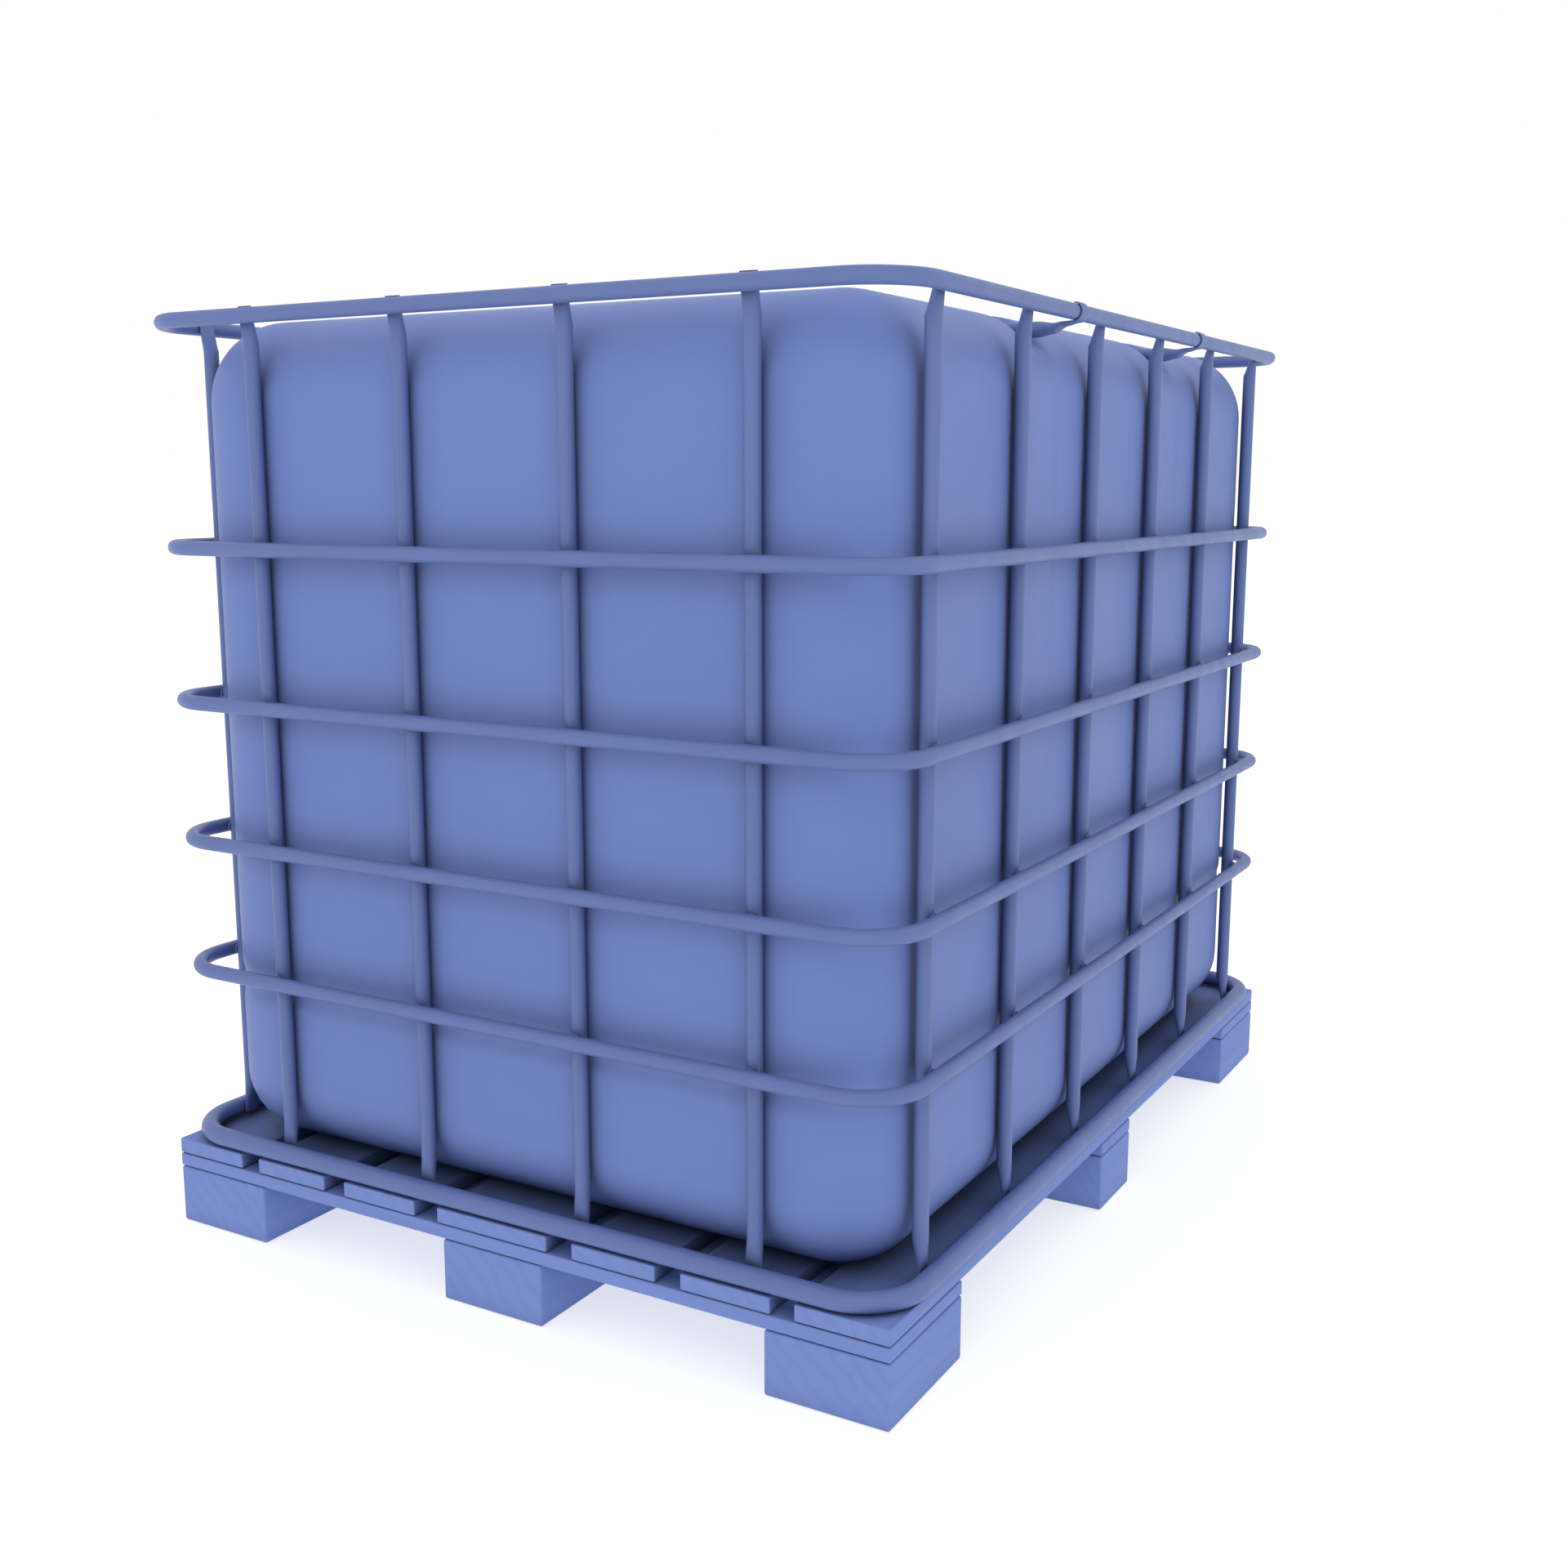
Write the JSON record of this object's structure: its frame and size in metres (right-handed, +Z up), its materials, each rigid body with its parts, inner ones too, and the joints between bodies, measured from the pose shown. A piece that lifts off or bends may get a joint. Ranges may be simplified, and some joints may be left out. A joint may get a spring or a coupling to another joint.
{
  "type": "intermediate bulk container",
  "caption": "Caged bulk liquid container: round-shouldered plastic bottle in a tubular steel cage on a wooden block pallet, with screw lid and butterfly discharge valve.",
  "frame": {"origin": "middle of the pallet's underside, on the ground", "axes": "+Z up; +Y along the long side, towards the short end with the discharge valve; +X along the short side"},
  "size_m": [1.015, 1.3228, 1.1175],
  "materials": {
    "pallet_wood": "satin",
    "cage_steel": "satin",
    "bottle_plastic": "satin",
    "cap_plastic": "satin",
    "valve_plastic": "satin",
    "gasket_rubber": "matte",
    "fixing_steel": "satin"
  },
  "bodies": {
    "container": {"block_1": "pallet_wood", "block_2": "pallet_wood", "block_3": "pallet_wood", "block_4": "pallet_wood", "block_5": "pallet_wood", "block_6": "pallet_wood", "block_7": "pallet_wood", "block_8": "pallet_wood", "block_9": "pallet_wood", "stringer_1": "pallet_wood", "stringer_2": "pallet_wood", "stringer_3": "pallet_wood", "deck_board_1": "pallet_wood", "deck_board_2": "pallet_wood", "deck_board_3": "pallet_wood", "deck_board_4": "pallet_wood", "deck_board_5": "pallet_wood", "deck_board_6": "pallet_wood", "deck_board_7": "pallet_wood", "ring_1": "cage_steel", "ring_2": "cage_steel", "ring_3": "cage_steel", "ring_4": "cage_steel", "ring_5": "cage_steel", "ring_6": "cage_steel", "upright_1": "cage_steel", "upright_2": "cage_steel", "upright_3": "cage_steel", "upright_4": "cage_steel", "upright_5": "cage_steel", "upright_6": "cage_steel", "upright_7": "cage_steel", "upright_8": "cage_steel", "upright_9": "cage_steel", "upright_10": "cage_steel", "upright_11": "cage_steel", "upright_12": "cage_steel", "upright_13": "cage_steel", "upright_14": "cage_steel", "upright_15": "cage_steel", "upright_16": "cage_steel", "upright_17": "cage_steel", "upright_18": "cage_steel", "upright_19": "cage_steel", "upright_20": "cage_steel", "cross_bar_1": "cage_steel", "cross_bar_2": "cage_steel", "bottle": "bottle_plastic", "valve_nut": "cap_plastic", "valve_body": "valve_plastic", "valve_gasket": "gasket_rubber", "valve_seat": "gasket_rubber", "deck_nails": "fixing_steel", "cage_screws": "fixing_steel"},
    "lid_gasket": {"lid_gasket": "gasket_rubber"},
    "fill_lid": {"fill_lid": "cap_plastic"},
    "valve_spindle": {"valve_disc": "valve_plastic", "valve_lever": "cap_plastic"},
    "outlet_gasket": {"outlet_gasket": "gasket_rubber"},
    "outlet_cap": {"outlet_cap": "cap_plastic"}
  },
  "joints": [
    {"name": "lid_lift", "type": "slide", "parent": "container", "child": "lid_gasket", "axis": [0, 0, 1], "range_m": [0, 0.0495]},
    {"name": "lid_turn", "type": "hinge", "parent": "lid_gasket", "child": "fill_lid", "pos_m": [0, 0, 1.09], "axis": [0, 0, 1], "range_deg": [0, 2520]},
    {"name": "valve_turn", "type": "hinge", "parent": "container", "child": "valve_spindle", "pos_m": [0, 0.554, 0.178], "axis": [0, 0, 1], "range_deg": [0, 90]},
    {"name": "cap_travel", "type": "slide", "parent": "container", "child": "outlet_gasket", "axis": [0, 1, 0], "range_m": [0, 0.0305]},
    {"name": "cap_turn", "type": "hinge", "parent": "outlet_gasket", "child": "outlet_cap", "pos_m": [0, 0.6, 0.178], "axis": [0, 1, 0], "range_deg": [0, 1800]}
  ],
  "couplings": [
    {"joint": "lid_lift", "follows": "lid_turn", "m_per_rad": 0.0011141},
    {"joint": "cap_travel", "follows": "cap_turn", "m_per_rad": 0.00095493}
  ]
}
